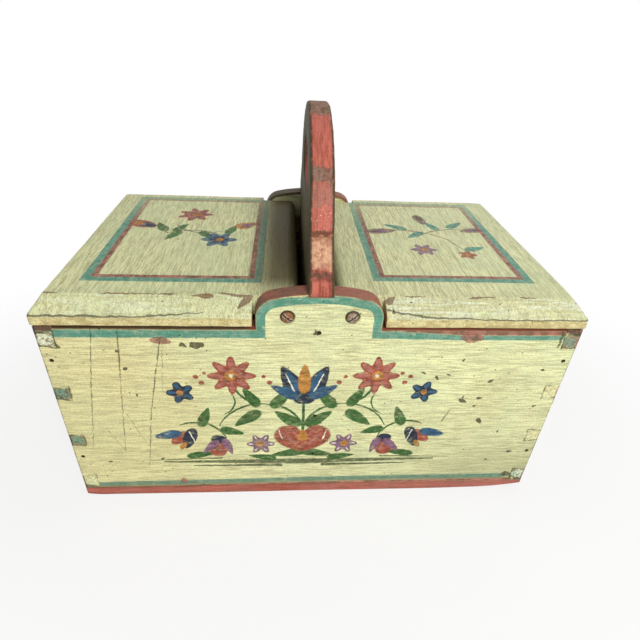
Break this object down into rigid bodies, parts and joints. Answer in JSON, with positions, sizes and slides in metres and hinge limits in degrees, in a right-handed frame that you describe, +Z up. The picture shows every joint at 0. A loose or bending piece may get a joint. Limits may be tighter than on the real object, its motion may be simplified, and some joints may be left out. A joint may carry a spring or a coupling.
{
  "type": "sewing carrier with two lids",
  "caption": "Painted wooden sewing box with a fixed arched handle board down its middle and a pivoting bevelled lid over the compartment on each side.",
  "frame": {"origin": "middle of the underside", "axes": "+X to the right along the front, +Y from front to back, +Z up"},
  "size_m": [0.303, 0.1814, 0.2363],
  "materials": {
    "wall_paint": "worn pale yellow-green paint with teal and red lines over pine",
    "lid_paint": "worn pale yellow-green paint, streaked by the brush, with a painted frame",
    "base_paint": "worn brick red paint",
    "handle_paint": "worn brick red edges and dark olive-brown faces",
    "screw_steel": "aged, partly rusted",
    "nail_iron": "dark and rusted"
  },
  "bodies": {
    "box": {"front_board": "wall_paint", "back_board": "wall_paint", "left_end_board": "wall_paint", "right_end_board": "wall_paint", "bottom_board": "base_paint", "handle_board": "handle_paint", "front_divider_nails": "nail_iron", "back_divider_nails": "nail_iron", "front_corner_nails": "nail_iron", "back_corner_nails": "nail_iron", "bottom_nails": "nail_iron"},
    "lid_left": {"left_lid": "lid_paint", "front_left_screw": "screw_steel", "back_left_screw": "screw_steel"},
    "lid_right": {"right_lid": "lid_paint", "front_right_screw": "screw_steel", "back_right_screw": "screw_steel"}
  },
  "joints": [
    {"name": "left_lid_pivot", "type": "hinge", "parent": "box", "child": "lid_left", "pos_m": [-0.0175, 0, 0.1438], "axis": [0, 1, 0], "range_deg": [0, 92.4]},
    {"name": "right_lid_pivot", "type": "hinge", "parent": "box", "child": "lid_right", "pos_m": [0.0175, 0, 0.1438], "axis": [0, -1, 0], "range_deg": [0, 92.4]}
  ]
}
